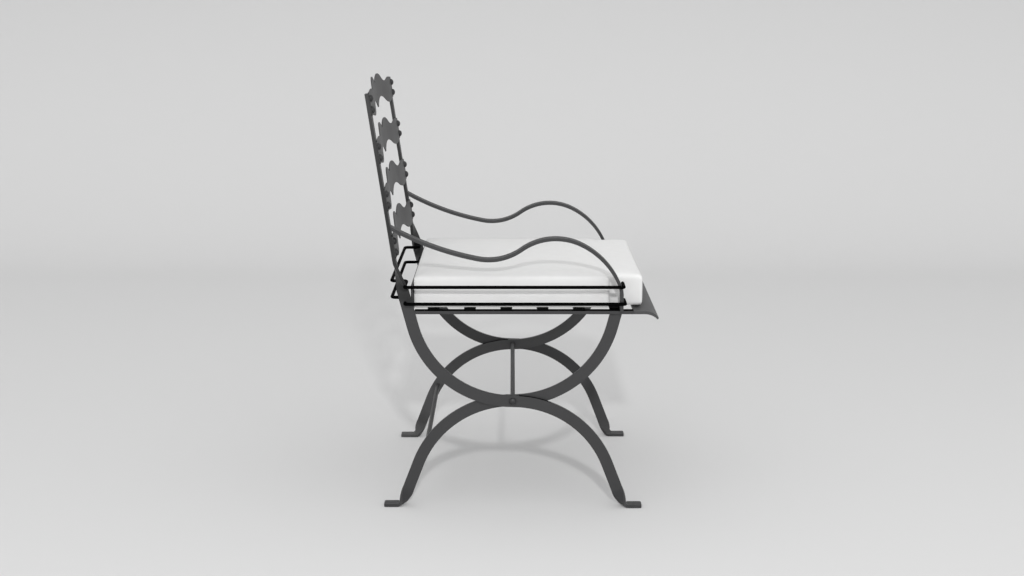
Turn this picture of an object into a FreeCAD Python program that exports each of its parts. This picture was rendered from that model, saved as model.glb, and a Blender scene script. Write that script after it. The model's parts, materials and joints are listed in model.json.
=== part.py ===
import FreeCAD, Part
import math
import os
import Sketcher
from FreeCAD import Placement, Rotation, Vector

# Garden armchair of forged flat bar with a loose seat cushion.
# Millimetres. The origin lies on the ground under the crossing of the side hoops.
# +X points to the front of the seat, +Z up. The sitter's right side is at -Y.
# Each side has two bars that lie face to face at the crossing. The outer one is the
# stile of the back, the rear of the seat hoop, the front of the leg arch and the front
# foot. The inner one is the front of the hoop, the rear of the arch and the rear foot.

SIZES = [
    ("bar_width", 25.0, "flat bar of the frame, broad face"),
    ("bar_thickness", 7.0, "flat bar of the frame, thickness"),
    ("joint_plane", 249.0, "centre plane to the face where a side's two bars meet"),
    ("pivot_height", 239.0, "ground to the crossing of the bars"),
    ("hoop_radius", 219.5, "centreline of the seat hoop and of the leg arch"),
    ("leg_lean", 21.0, "legs below the arch, degrees from upright"),
    ("toe_twist_length", 26.0, "quarter twist above each foot"),
    ("toe_bend_radius", 10.0, "centreline of the bend into the foot"),
    ("toe_length", 32.7, "flat of the foot after its bend"),
    ("toe_corner", 4.0, "rounding of the foot's end"),
    ("seat_rise", 199.5, "crossing of the bars to the top of the seat rails"),
    ("lower_stile_lean", 14.5, "stile below its bend, degrees from upright"),
    ("stile_bend_height", 105.0, "top of the seat rails to the bend of the stile"),
    ("stile_bend_radius", 60.0, "centreline of that bend"),
    ("stile_twist_foot", 42.0, "top of the seat rails to the lower end of the stile's twist"),
    ("stile_lean", 8.33, "back above the bend, degrees from upright"),
    ("stile_top", 21.8, "middle of the top back slat to the top of the stile's centreline"),
    ("twist_even_share", 0.62, "share of the stile's twist that is spread evenly"),
    ("arm_root_height", 74.0, "bend of the stile to the arm where it meets the stile"),
    ("arm_root_slope", 29.1, "fall of the arm at the stile, degrees"),
    ("arm_fall_radius", 618.0, "first bend of the arm"),
    ("arm_fall_turn", 18.1, "degrees"),
    ("arm_dip_radius", 119.6, "hollow of the arm"),
    ("arm_dip_turn", 46.5, "degrees"),
    ("arm_crest_radius", 123.2, "crest of the arm"),
    ("arm_crest_turn", 61.7, "degrees"),
    ("arm_brow_radius", 169.0, "long bend in front of the crest"),
    ("arm_brow_turn", 41.5, "degrees"),
    ("arm_drop_radius", 57.7, "last bend, down to the post"),
    ("rail_width", 20.0, "seat side rail, across"),
    ("rail_front", 257.0, "front end of the rails"),
    ("seat_slat_width", 25.0, "seat slats, front to back"),
    ("seat_slat_thickness", 3.0, "seat slats"),
    ("seat_slat_inset", 2.0, "outer edge of a rail to a slat's end"),
    ("front_slat_gap", 1.0, "arm post to the end of the last slat, which lies between the posts"),
    ("first_seat_slat", 168.5, "rearmost slat's middle, behind the crossing"),
    ("seat_slat_pitch", 77.4, "slat to slat"),
    ("lip_flat", 24.0, "flat part of the front lip, before the rails"),
    ("lip_curl", 29.7, "its foremost point, beyond the flat part"),
    ("lip_drop", 15.2, "fall of the lip's upper face"),
    ("lip_tip_reach_back", 2.5, "lower edge of the tip, behind the upper edge"),
    ("lip_tip_depth", 3.6, "lower edge of the tip, under the upper edge"),
    ("rear_plate_setback", 2.9, "stile's front edge to the plate behind the seat, at its foot"),
    ("rear_plate_thickness", 5.0, "upright plate"),
    ("rear_plate_drop", 2.0, "top of the seat rails to the plate's lower edge"),
    ("rear_plate_height", 55.0, "lower edge to upper edge"),
    ("tie_rod_diameter", 10.0, "rod between the two crossings"),
    ("tie_end_diameter", 8.0, "turned-down ends of that rod"),
    ("tie_head_diameter", 16.5, "its riveted heads"),
    ("tie_head_height", 5.5, "its riveted heads"),
    ("stretcher_diameter", 10.0, "rod between the rear legs"),
    ("stretcher_height", 133.5, "ground to that rod"),
    ("wire_diameter", 6.0, "guard wires"),
    ("wire_bend_radius", 9.0, "centreline of their bends behind the back"),
    ("wire_tight_radius", 4.5, "centreline of their bends at the arm posts and stiles"),
    ("upper_wire_height", 54.0, "top of the seat rails to the upper wire"),
    ("lower_wire_height", 17.7, "top of the seat rails to the lower wire"),
    ("wire_hook_reach", 16.5, "arm post's inner face to the tips of the front hooks"),
    ("wire_inner_reach", 49.0, "stile's inner face to the short runs behind the stiles"),
    ("wire_back_reach", 33.0, "hole in the stile to the run across the back"),
    ("wire_hole_lead", 3.1, "hole in the stile, before the stile's middle"),
    ("wire_gap", 0.3, "wire to the arm post it passes"),
    ("back_slat_thickness", 2.5, "shaped plates of the back"),
    ("back_slat_bow", 11.5, "depth of their bow between the stiles"),
    ("lowest_slat_height", 33.2, "bend of the stile to the middle of the lowest slat's ends"),
    ("back_slat_pitch", 99.33, "one back slat to the next, in height"),
    ("slat_end_rise", 25.0, "slat's middle to the top of its ends"),
    ("slat_end_fall", 23.5, "slat's middle to the foot of its ends"),
    ("slat_end_corner", 5.0, "rounding of its corners"),
    ("slat_shoulder_at", 200.0, "low swell before each end"),
    ("slat_shoulder_rise", 28.5, "height of the swell"),
    ("slat_dip_at", 150.0, "dip between the swell and the crest"),
    ("slat_dip_rise", 23.5, "height of the dip"),
    ("slat_crest_at", 60.0, "crest of each lobe"),
    ("slat_crest_rise", 46.0, "height of the crest"),
    ("slat_notch_rise", 29.0, "height of the middle notch"),
    ("slat_notch_radius", 10.0, "bottom of the notch"),
    ("slat_belly_at", 186.0, "lowest part of each lobe"),
    ("slat_belly_fall", 29.0, "depth of the belly"),
    ("slat_hollow_at", 66.0, "arched hollow beside the pendant"),
    ("slat_hollow_fall", 6.4, "depth left at the hollow"),
    ("slat_pendant_fall", 25.6, "tip of the middle pendant"),
    ("slat_pendant_radius", 5.0, "tip of the pendant"),
    ("back_rivet_head", 15.8, "dome heads of the back's rivets"),
    ("back_rivet_rise", 6.5, "height of the domes"),
    ("back_rivet_spacing", 24.0, "the two rivets of one slat end"),
    ("tie_clearance", 0.05, "all round the tie rod in its hole"),
    ("wire_clearance", 0.15, "all round a wire in its hole"),
    ("cushion_rear_gap", 1.0, "rear plate to the cushion"),
    ("cushion_overhang", 22.5, "cushion's front face, beyond the rails' ends"),
    ("cushion_side_gap", 20.0, "arm posts' inner faces to the cushion's sides"),
    ("cushion_gap", 0.3, "slats to the cushion"),
    ("cushion_depth", 64.5, "its sides, bottom to top"),
    ("cushion_crown", 3.2, "rise of its middle above the sides"),
    ("cushion_edge", 15.0, "rounding of its upper edges"),
    ("cushion_lower_edge", 9.0, "rounding of its lower edges"),
    ("cushion_corner", 12.0, "rounding of its upright corners"),
    ("notch_rear_gap", 23.4, "arm post to the rear wall of the cushion's notch"),
    ("notch_front_gap", 7.6, "arm post to its front wall"),
    ("notch_inner_gap", 36.0, "arm post to its inner wall"),
]

doc = FreeCAD.newDocument("garden_armchair")
sheet = doc.addObject("Spreadsheet::Sheet", "Sizes")


def write_size(alias, value, note):
    """Adds one named size to the sheet."""
    write_size.row += 1
    row = str(write_size.row)
    sheet.set("A" + row, alias)
    sheet.set("B" + row, str(value))
    sheet.set("C" + row, note)
    sheet.setAlias("B" + row, alias)


write_size.row = 0
for alias, value, note in SIZES:
    write_size(alias, value, note)
doc.recompute()


def size(alias):
    return float(sheet.get(alias))


def turned(heading, x, z):
    """A step given along and across a heading, as a step in x and z."""
    a = math.radians(heading)
    return x * math.cos(a) - z * math.sin(a), x * math.sin(a) + z * math.cos(a)


class Course:
    """Centreline of a bar seen from the side: straight runs and tangent bends."""

    def __init__(self, x, z, heading):
        self.x = x
        self.z = z
        self.heading = heading
        self.pieces = []

    def run(self, length):
        dx, dz = turned(self.heading, length, 0.0)
        self.pieces.append(("run", self.x, self.z, self.heading, length, 0.0))
        self.x += dx
        self.z += dz
        return self

    def bend(self, radius, turn):
        """A bend to the left where turn is positive, to the right where it is negative."""
        self.pieces.append(("bend", self.x, self.z, self.heading, radius, turn))
        side = math.copysign(radius, turn)
        cx, cz = turned(self.heading, 0.0, side)
        ox, oz = turned(self.heading + turn, 0.0, -side)
        self.x += cx + ox
        self.z += cz + oz
        self.heading += turn
        return self

    def edges(self, offset, y):
        """The edges that run beside the centreline, offset to its left."""
        found = []
        for kind, x, z, heading, amount, turn in self.pieces:
            dx, dz = turned(heading, 0.0, offset)
            start = Vector(x + dx, y, z + dz)
            if kind == "run":
                dx, dz = turned(heading, amount, offset)
                found.append(Part.LineSegment(start, Vector(x + dx, y, z + dz)).toShape())
                continue
            side = math.copysign(amount, turn)
            cx, cz = turned(heading, 0.0, side)
            mx, mz = turned(heading + turn / 2, 0.0, offset - side)
            ex, ez = turned(heading + turn, 0.0, offset - side)
            middle = Vector(x + cx + mx, y, z + cz + mz)
            end = Vector(x + cx + ex, y, z + cz + ez)
            found.append(Part.Arc(start, middle, end).toShape())
        return found

    def band(self, thickness, y_low, y_high):
        """Solid of this thickness along the course, between two planes of equal y."""
        left = self.edges(thickness / 2, y_low)
        right = self.edges(-thickness / 2, y_low)
        caps = []
        for end in (0, -1):
            a = left[end].Vertexes[end].Point
            b = right[end].Vertexes[end].Point
            caps.append(Part.LineSegment(a, b).toShape())
        outline = Part.Wire(Part.__sortEdges__(left + right + caps))
        return Part.Face(outline).extrude(Vector(0, y_high - y_low, 0))


def flat_section(x, y, z, heading, roll):
    """Section of the flat bar across a course. At roll 0 its broad face lies across the
    chair, at roll 90 it faces the side."""
    a = math.radians(roll)
    nx, nz = turned(heading, 0.0, 1.0)
    normal = Vector(nx, 0, nz)
    across = Vector(0, 1, 0)
    thin = (normal * math.cos(a) + across * math.sin(a)) * (size("bar_thickness") / 2)
    broad = (across * math.cos(a) - normal * math.sin(a)) * (size("bar_width") / 2)
    middle = Vector(x, y, z)
    corners = [middle + thin + broad, middle - thin + broad]
    corners += [middle - thin - broad, middle + thin - broad]
    return Part.makePolygon(corners + corners[:1])


def twist(course, length, y, roll_at):
    """Quarter twist of the bar along the course; roll_at gives the roll at each share."""
    sections = []
    steps = 10
    for step in range(steps + 1):
        share = step / steps
        dx, dz = turned(course.heading, length * share, 0.0)
        sections.append(
            flat_section(course.x + dx, y, course.z + dz, course.heading, roll_at(share))
        )
    course.run(length)
    return Part.makeLoft(sections, True, False)


def stile_roll(share):
    """The stile's twist starts evenly and closes up quickly at its foot."""
    even = size("twist_even_share")
    return 90.0 * (even * share + (1.0 - even) * share ** 8)


def toe_roll(share):
    """The quarter twist above a foot, eased where it leaves the leg."""
    return 90.0 * math.cos(math.pi / 2 * share)


def lower_half(course, y_middle):
    """The leg arch, its leg, the twist and the foot, from the crossing down."""
    splay = size("leg_lean")
    turn = 90.0 - splay
    bend_reach = size("toe_bend_radius") * math.tan(math.radians(turn / 2))
    course.bend(size("hoop_radius"), -turn)
    corner = (course.z - size("bar_thickness") / 2) / math.cos(math.radians(splay))
    course.run(corner - bend_reach - size("toe_twist_length"))
    y_low = y_middle - size("bar_thickness") / 2
    y_high = y_middle + size("bar_thickness") / 2
    side_part = course.band(size("bar_width"), y_low, y_high)
    foot = Course(course.x, course.z, course.heading)
    twisted = twist(foot, size("toe_twist_length"), y_middle, toe_roll)
    foot.pieces = []
    foot.bend(size("toe_bend_radius"), turn).run(size("toe_length"))
    half = size("bar_width") / 2
    toe = foot.band(size("bar_thickness"), y_middle - half, y_middle + half)
    tip = [e for e in toe.Edges if e.BoundBox.XMin > foot.x - 0.01 and e.BoundBox.ZLength > 1]
    toe = toe.makeFillet(size("toe_corner"), tip)
    return [side_part, twisted, toe]


def hole(diameter, x, z):
    """Drill along y through everything at x and z."""
    reach = size("joint_plane") * 2
    return Part.makeCylinder(diameter / 2, reach, Vector(x, -reach, z), Vector(0, 1, 0))


def tie_hole():
    """Hole of the tie rod, through both bars of a side."""
    return hole(size("tie_end_diameter") + 2 * size("tie_clearance"), 0.0, size("pivot_height"))


def hoop_point(degrees):
    """Point of the hoop's centreline, in degrees back from the crossing."""
    a = math.radians(degrees)
    radius = size("hoop_radius")
    return -radius * math.sin(a), size("pivot_height") + radius * (1.0 - math.cos(a))


def stile_x(height):
    """Centreline of the stile at a height over the hoop."""
    x, z = hoop_point(90.0 - size("lower_stile_lean"))
    bend = size("bend_level")
    x -= (min(height, bend) - z) * math.tan(math.radians(size("lower_stile_lean")))
    x -= max(height - bend, 0.0) * math.tan(math.radians(size("stile_lean")))
    return x


def stile_face_x(height):
    """Front face of the stile above its bend."""
    lean = math.radians(size("stile_lean"))
    return stile_x(height) + size("bar_thickness") / 2 / math.cos(lean)


def right_stile_and_leg():
    """The outer bar of the right side, from the top of the back to the front foot."""
    y_middle = -size("joint_plane") - size("bar_thickness") / 2
    half = size("bar_width") / 2
    top_lean = size("stile_lean")
    low_lean = size("lower_stile_lean")
    bend = size("bend_level")
    top = size("stile_top_level")
    change = low_lean - top_lean
    reach = size("stile_bend_radius") * math.tan(math.radians(change / 2))
    stile = Course(stile_x(top), top, top_lean - 90.0)
    straight = (top - bend) / math.cos(math.radians(top_lean))
    stile.run(straight - reach).bend(size("stile_bend_radius"), change)
    upper = stile.band(size("bar_thickness"), y_middle - half, y_middle + half)
    twist_length = (stile.z - size("twist_level")) / math.cos(math.radians(low_lean))
    turning = Course(stile.x, stile.z, stile.heading)
    twisted = twist(turning, twist_length, y_middle, stile_roll)
    hoop_x, hoop_z = hoop_point(90.0 - low_lean)
    side = Course(turning.x, turning.z, turning.heading)
    side.run((turning.z - hoop_z) / math.cos(math.radians(low_lean)))
    side.bend(size("hoop_radius"), 90.0 - low_lean)
    shape = upper.fuse([twisted] + lower_half(side, y_middle)).removeSplitter()
    bore = size("wire_diameter") + 2 * size("wire_clearance")
    drills = [tie_hole()]
    drills.append(hole(bore, -size("wire_hole"), size("upper_wire_level")))
    drills.append(hole(bore, -size("wire_hole"), size("lower_wire_level")))
    return shape.cut(drills)


def right_rear_arch():
    """The inner bar of the right side, from under the seat rail to the rear foot."""
    y_middle = -size("joint_plane") + size("bar_thickness") / 2
    lean = size("lower_stile_lean")
    start_x, start_z = hoop_point(90.0 - lean)
    top = size("seat_top")
    over = top - start_z
    side = Course(start_x - over * math.tan(math.radians(lean)), top, lean - 90.0)
    side.run(over / math.cos(math.radians(lean)))
    side.bend(size("hoop_radius"), 90.0 - lean)
    rail_foot = top - size("bar_thickness")
    pieces = lower_half(side, y_middle)
    shape = pieces[0].fuse(pieces[1:]).removeSplitter()
    shape = shape.mirror(Vector(0, 0, 0), Vector(1, 0, 0))
    reach = size("hoop_radius") * 2
    above = Part.makeBox(reach, reach, reach, Vector(0, -reach, rail_foot))
    return shape.cut([above, tie_hole()])


def arm_course():
    """Centreline of an arm from the stile's front face down to the seat rail."""
    root = size("arm_root_level")
    course = Course(stile_face_x(root), root, -size("arm_root_slope"))
    course.bend(size("arm_fall_radius"), size("arm_fall_turn"))
    course.bend(size("arm_dip_radius"), size("arm_dip_turn"))
    course.bend(size("arm_crest_radius"), -size("arm_crest_turn"))
    course.bend(size("arm_brow_radius"), -size("arm_brow_turn"))
    course.bend(size("arm_drop_radius"), -90.0 - course.heading)
    course.run(course.z - size("seat_top"))
    return course


def right_arm():
    """The arm's root is cut along the stile, and its post stands on the rail."""
    outer = -size("joint_plane") - (size("bar_width") + size("bar_thickness")) / 2
    inner = outer + size("bar_width")
    course = arm_course()
    first = course.pieces[0]
    lead = Course(first[1], first[2], first[3] + 180.0).run(size("bar_thickness") / 2)
    root = Course(lead.x, lead.z, first[3]).run(size("bar_thickness") / 2)
    arm = course.band(size("bar_thickness"), outer, inner)
    arm = arm.fuse(root.band(size("bar_thickness"), outer, inner)).removeSplitter()
    tall = size("bar_width") * 4
    behind = Part.makeBox(tall, tall, tall, Vector(-tall, -tall / 2, -tall / 2))
    behind.Placement = Placement(
        Vector(first[1], (outer + inner) / 2, first[2]),
        Rotation(Vector(0, -1, 0), size("stile_lean")),
    )
    return arm.cut(behind)


def slat_place(row):
    """Where the middle of a back slat's rear face lies, leaning with the stiles."""
    height = size("top_slat_level") - row * size("back_slat_pitch")
    return Placement(
        Vector(stile_face_x(height), 0, height),
        Rotation(Vector(0, -1, 0), size("stile_lean")),
    )


def swell(start, end, start_radius=None, end_radius=None):
    """Two tangent arcs from one level point of an outline to the next; points are (y, z)."""
    dy = end[0] - start[0]
    dz = end[1] - start[1]
    turn = 2.0 * math.atan(abs(dz) / abs(dy))
    total = abs(dy) / math.sin(turn)
    first = total / 2
    if start_radius is not None:
        first = start_radius
    if end_radius is not None:
        first = total - end_radius
    sy = math.copysign(1.0, dy)
    sz = math.copysign(1.0, dz)

    def point(base, radius, angle, sign):
        across = sign * sy * radius * math.sin(angle)
        up = sign * sz * radius * (1.0 - math.cos(angle))
        return Vector(0, base[0] + across, base[1] + up)

    joint = point(start, first, turn, 1.0)
    near = Part.Arc(point(start, first, 0.0, 1.0), point(start, first, turn / 2, 1.0), joint)
    rest = total - first
    far = Part.Arc(joint, point(end, rest, turn / 2, -1.0), point(end, rest, 0.0, -1.0))
    return [near.toShape(), far.toShape()]


def line(a, b):
    return Part.LineSegment(Vector(0, *a), Vector(0, *b)).toShape()


def slat_outline():
    """Outline of a back slat, face on: crests, notch, pendant, hollows and bellies."""
    end = size("joint_plane") + (size("bar_width") + size("bar_thickness")) / 2
    rise = size("slat_end_rise")
    foot = -size("slat_end_fall")
    level = end - size("bar_width")
    corner = size("slat_end_corner")
    shoulder = (size("slat_shoulder_at"), size("slat_shoulder_rise"))
    notch = (0.0, size("slat_notch_rise"))
    crest = (size("slat_crest_at"), size("slat_crest_rise"))
    dip = (size("slat_dip_at"), size("slat_dip_rise"))
    belly = (size("slat_belly_at"), -size("slat_belly_fall"))
    hollow = (size("slat_hollow_at"), -size("slat_hollow_fall"))
    pendant = (0.0, -size("slat_pendant_fall"))
    half = swell(notch, crest, start_radius=size("slat_notch_radius"))
    half += swell(crest, dip) + swell(dip, shoulder) + swell(shoulder, (end - corner, rise))
    diagonal = corner * (1.0 - math.sqrt(0.5))
    for edge, inward in ((rise, -1.0), (foot, 1.0)):
        rounding = [Vector(0, end - corner, edge)]
        rounding.append(Vector(0, end - diagonal, edge + inward * diagonal))
        rounding.append(Vector(0, end, edge + inward * corner))
        half.append(Part.Arc(*rounding).toShape())
    half.append(line((end, rise - corner), (end, foot + corner)))
    half.append(line((end - corner, foot), (level, foot)))
    half += swell((level, foot), belly) + swell(belly, hollow)
    half += swell(hollow, pendant, end_radius=size("slat_pendant_radius"))
    other = [edge.mirror(Vector(0, 0, 0), Vector(0, 1, 0)) for edge in half]
    return Part.Wire(Part.__sortEdges__(half + other))


def bowed_strip(height):
    """Strip of slat plate: flat ends on the stiles, eased into a shallow bow between."""
    end = size("joint_plane") + (size("bar_width") + size("bar_thickness")) / 2
    level = end - size("bar_width")
    bow = size("back_slat_bow")
    thickness = size("back_slat_thickness")
    radius = level / math.sin(2.0 * math.atan(bow / level)) / 2
    half = swell((level, 0.0), (0.0, -bow), start_radius=radius)
    half += swell((level, thickness), (0.0, thickness - bow), start_radius=radius + thickness)
    half.append(line((level, 0.0), (end, 0.0)))
    half.append(line((end, 0.0), (end, thickness)))
    half.append(line((end, thickness), (level, thickness)))
    other = [edge.mirror(Vector(0, 0, 0), Vector(0, 1, 0)) for edge in half]
    section = Part.Face(Part.Wire(Part.__sortEdges__(half + other)))
    section.rotate(Vector(0, 0, 0), Vector(0, 1, 0), 90)
    section.translate(Vector(0, 0, -height / 2))
    return section.extrude(Vector(0, 0, height))


def back_slat():
    """A slat in its own frame: rear face of its ends at x = 0."""
    tall = 2 * (size("slat_crest_rise") + size("slat_belly_fall"))
    deep = 2 * size("back_slat_bow")
    outline = Part.Face(slat_outline())
    outline.translate(Vector(-deep, 0, 0))
    return bowed_strip(tall).common(outline.extrude(Vector(2 * deep, 0, 0)))


def dome(head, rise):
    """Head of a rivet on the plane x = 0, its round drawn with few flat faces."""
    ball = (head ** 2 / 4 + rise ** 2) / (2 * rise)
    rim = math.asin(head / 2 / ball)
    rings = []
    for ring in range(DOME_RINGS):
        angle = rim * (1.0 - ring / (DOME_RINGS - 0.5))
        radius = ball * math.sin(angle)
        level = rise - ball * (1.0 - math.cos(angle))
        turns = [2 * math.pi * n / DOME_SIDES for n in range(DOME_SIDES)]
        rings.append([Vector(level, radius * math.cos(a), radius * math.sin(a)) for a in turns])
    faces = [flat_face(rings[0]), flat_face(rings[-1])]
    for low, high in zip(rings, rings[1:]):
        for n in range(DOME_SIDES):
            m = (n + 1) % DOME_SIDES
            faces.append(flat_face([low[n], low[m], high[m], high[n]]))
    return Part.makeSolid(Part.makeShell(faces))


DOME_SIDES = 10
DOME_RINGS = 3


def flat_face(corners):
    return Part.Face(Part.makePolygon(corners + corners[:1]))


def back_rivets():
    """Dome heads on the slats' front faces, two at each end of a slat."""
    head = dome(size("back_rivet_head"), size("back_rivet_rise"))
    across = size("joint_plane") + size("bar_thickness") / 2
    found = []
    for row in range(BACK_SLATS):
        for y in (-across, across):
            for z in (-size("back_rivet_spacing") / 2, size("back_rivet_spacing") / 2):
                seat = Placement(Vector(size("back_slat_thickness"), y, z), Rotation())
                copy = head.copy()
                copy.Placement = slat_place(row).multiply(seat)
                found.append(copy)
    return Part.makeCompound(found)


BACK_SLATS = 4


def add_feature(name, shape, place=None):
    """A sub-part whose shape is worked out above."""
    feature = doc.addObject("Part::Feature", name)
    feature.Label = name
    feature.Shape = shape
    if place is not None:
        feature.Placement = place
    return feature


def add_mirrored(name, source):
    """The left side's copy of a sub-part of the right side."""
    copy = doc.addObject("Part::Mirroring", name)
    copy.Label = name
    copy.Source = source
    copy.Normal = Vector(0, 1, 0)
    return copy


def new_body(name):
    body = doc.addObject("PartDesign::Body", name)
    body.Label = name
    return body


def new_sketch(body, name, role, offset=None):
    """A sketch on one of the body's origin planes, moved along its normal."""
    sketch = body.newObject("Sketcher::SketchObject", name)
    plane = next(f for f in body.Origin.OriginFeatures if f.Role == role)
    sketch.AttachmentSupport = (plane, "")
    sketch.MapMode = "FlatFace"
    if offset is not None:
        sketch.setExpression("AttachmentOffset.Base.z", offset)
    return sketch


def value_of(sketch, expression):
    return float(sketch.evalExpression(expression))


def fix(sketch, kind, geometry, point, expression):
    """Ties one coordinate of a point, or a radius, to the sizes."""
    value = value_of(sketch, expression)
    if kind == "Radius":
        constraint = Sketcher.Constraint("Radius", geometry, value)
    else:
        constraint = Sketcher.Constraint(kind, -1, 1, geometry, point, value)
    index = sketch.addConstraint(constraint)
    sketch.setExpression("Constraints[%d]" % index, expression)


def draw_polygon(sketch, corners):
    """Closed outline through corners, each given by the expressions of its x and y."""
    points = [Vector(value_of(sketch, a), value_of(sketch, b), 0) for a, b in corners]
    count = len(corners)
    for n in range(count):
        sketch.addGeometry(Part.LineSegment(points[n], points[(n + 1) % count]), False)
    for n in range(count):
        sketch.addConstraint(Sketcher.Constraint("Coincident", n, 2, (n + 1) % count, 1))
    for n, (a, b) in enumerate(corners):
        fix(sketch, "DistanceX", n, 1, a)
        fix(sketch, "DistanceY", n, 1, b)


def draw_rectangle(sketch, left, right, low, high):
    draw_polygon(sketch, [(left, low), (right, low), (right, high), (left, high)])


def draw_circle(sketch, x, y, diameter):
    middle = Vector(value_of(sketch, x) if x else 0, value_of(sketch, y) if y else 0, 0)
    radius = value_of(sketch, diameter) / 2
    circle = sketch.addGeometry(Part.Circle(middle, Vector(0, 0, 1), radius), False)
    fix(sketch, "Radius", circle, 0, diameter + " / 2")
    if x:
        fix(sketch, "DistanceX", circle, 3, x)
    if y:
        fix(sketch, "DistanceY", circle, 3, y)
    if not x and y:
        sketch.addConstraint(Sketcher.Constraint("PointOnObject", circle, 3, -2))
    if x and not y:
        sketch.addConstraint(Sketcher.Constraint("PointOnObject", circle, 3, -1))


def pad(body, name, sketch, length, symmetric=False):
    feature = body.newObject("PartDesign::Pad", name)
    feature.Profile = sketch
    feature.SideType = "Symmetric" if symmetric else "One side"
    feature.setExpression("Length", length)
    return feature


def drill_through(body, name, sketch):
    """Pocket through everything, both ways."""
    before = body.Shape.Volume
    feature = body.newObject("PartDesign::Pocket", name)
    feature.Profile = sketch
    feature.SideType = "Symmetric"
    feature.Type = "ThroughAll"
    doc.recompute()
    if not body.Shape.Volume < before:
        raise RuntimeError(name + " cut nothing")
    return feature


STILE_LEAN = "(Sizes.lower_stile_lean * 1 deg)"
STILE_EDGE = (
    "-Sizes.hoop_radius * cos({lean}) + Sizes.bar_width / 2 / cos({lean})"
    " - ({height} - Sizes.pivot_height - Sizes.hoop_radius * (1 - sin({lean}))) * tan({lean})"
)


def stile_edge(height):
    """Front edge of the stile beside the seat, as an expression."""
    return STILE_EDGE.format(lean=STILE_LEAN, height=height)


def make_right_rail():
    """Rail from the stile's slanting front edge to the front lip."""
    body = new_body("right_seat_rail")
    outline = new_sketch(body, "rail_outline", "XZ_Plane", "Sizes.rail_outer_face - Sizes.rail_width")
    top = "Sizes.seat_top"
    foot = "(Sizes.seat_top - Sizes.bar_thickness)"
    corners = [(stile_edge(foot), foot), ("Sizes.rail_front", foot)]
    corners += [("Sizes.rail_front", top), (stile_edge(top), top)]
    draw_polygon(outline, corners)
    pad(body, "rail_bar", outline, "Sizes.rail_width")
    return body


SEAT_SLATS = 6


def make_seat_slat(number):
    """Flat slat on top of both rails. The frontmost one is short, between the arm posts."""
    word = str(number + 1)
    between_posts = number == SEAT_SLATS - 1
    half_length = "Sizes.front_slat_half_length" if between_posts else "Sizes.seat_slat_half_length"
    body = new_body("seat_slat_" + word)
    outline = new_sketch(body, "seat_slat_outline_" + word, "XY_Plane")
    across = "Sizes.seat_slat_width / 2"
    draw_rectangle(outline, "-" + across, across, "-" + half_length, half_length)
    pad(body, "seat_slat_bar_" + word, outline, "Sizes.seat_slat_thickness")
    x = "-Sizes.first_seat_slat + %d * Sizes.seat_slat_pitch" % number
    body.setExpression("Placement.Base.x", x)
    body.setExpression("Placement.Base.z", "Sizes.seat_top")
    return body


def make_rear_plate():
    """Upright plate between the stiles behind the seat."""
    body = new_body("rear_seat_plate")
    outline = new_sketch(body, "rear_plate_section", "XZ_Plane")
    draw_rectangle(
        outline,
        "-Sizes.rear_plate_front - Sizes.rear_plate_thickness",
        "-Sizes.rear_plate_front",
        "Sizes.rear_plate_foot",
        "Sizes.rear_plate_head",
    )
    pad(body, "rear_plate_bar", outline, "2 * Sizes.joint_plane", symmetric=True)
    return body


def make_front_lip():
    """Plate across the ends of the rails, curling down and thinning to its tip."""
    body = new_body("front_lip")
    section = new_sketch(body, "lip_section", "XZ_Plane")
    root = size("rail_front")
    top = size("seat_top")
    foot = top - size("bar_thickness")
    flat = size("lip_flat_end")
    tip = Vector(size("lip_reach"), top - size("lip_drop"), 0)
    under = tip - Vector(size("lip_tip_reach_back"), size("lip_tip_depth"), 0)

    def curl(level, end):
        """Arc that leaves the flat level and falls to its end."""
        reach = end.x - flat
        drop = level - end.y
        radius = (reach ** 2 + drop ** 2) / (2 * drop)
        angle = math.asin(reach / radius)
        middle = Vector(
            flat + radius * math.sin(angle / 2),
            level - radius * (1.0 - math.cos(angle / 2)),
            0,
        )
        return Part.Arc(Vector(flat, level, 0), middle, end)

    section.addGeometry(Part.LineSegment(Vector(root, foot, 0), Vector(root, top, 0)), False)
    section.addGeometry(Part.LineSegment(Vector(root, top, 0), Vector(flat, top, 0)), False)
    section.addGeometry(curl(top, tip), False)
    section.addGeometry(Part.LineSegment(tip, under), False)
    section.addGeometry(curl(foot, under), False)
    section.addGeometry(Part.LineSegment(Vector(flat, foot, 0), Vector(root, foot, 0)), False)
    joints = [(0, 2, 1, 1), (2, 1, 3, 1), (3, 2, 4, 1), (5, 2, 0, 1)]
    for joint in joints:
        section.addConstraint(Sketcher.Constraint("Coincident", *joint))
    section.addConstraint(Sketcher.Constraint("Tangent", 1, 2, 2, 2))
    section.addConstraint(Sketcher.Constraint("Tangent", 4, 2, 5, 1))
    section.addConstraint(Sketcher.Constraint("Vertical", 0))
    section.addConstraint(Sketcher.Constraint("Horizontal", 1))
    section.addConstraint(Sketcher.Constraint("Horizontal", 5))
    fix(section, "DistanceX", 0, 1, "Sizes.rail_front")
    fix(section, "DistanceY", 0, 2, "Sizes.seat_top")
    fix(section, "DistanceY", 0, 1, "Sizes.seat_top - Sizes.bar_thickness")
    fix(section, "DistanceX", 1, 2, "Sizes.lip_flat_end")
    fix(section, "DistanceX", 5, 1, "Sizes.lip_flat_end")
    fix(section, "DistanceX", 3, 1, "Sizes.lip_reach")
    fix(section, "DistanceY", 3, 1, "Sizes.seat_top - Sizes.lip_drop")
    fix(section, "DistanceX", 3, 2, "Sizes.lip_reach - Sizes.lip_tip_reach_back")
    fix(section, "DistanceY", 3, 2, "Sizes.seat_top - Sizes.lip_drop - Sizes.lip_tip_depth")
    pad(body, "lip_bar", section, "2 * Sizes.rail_outer_face", symmetric=True)
    return body


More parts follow.
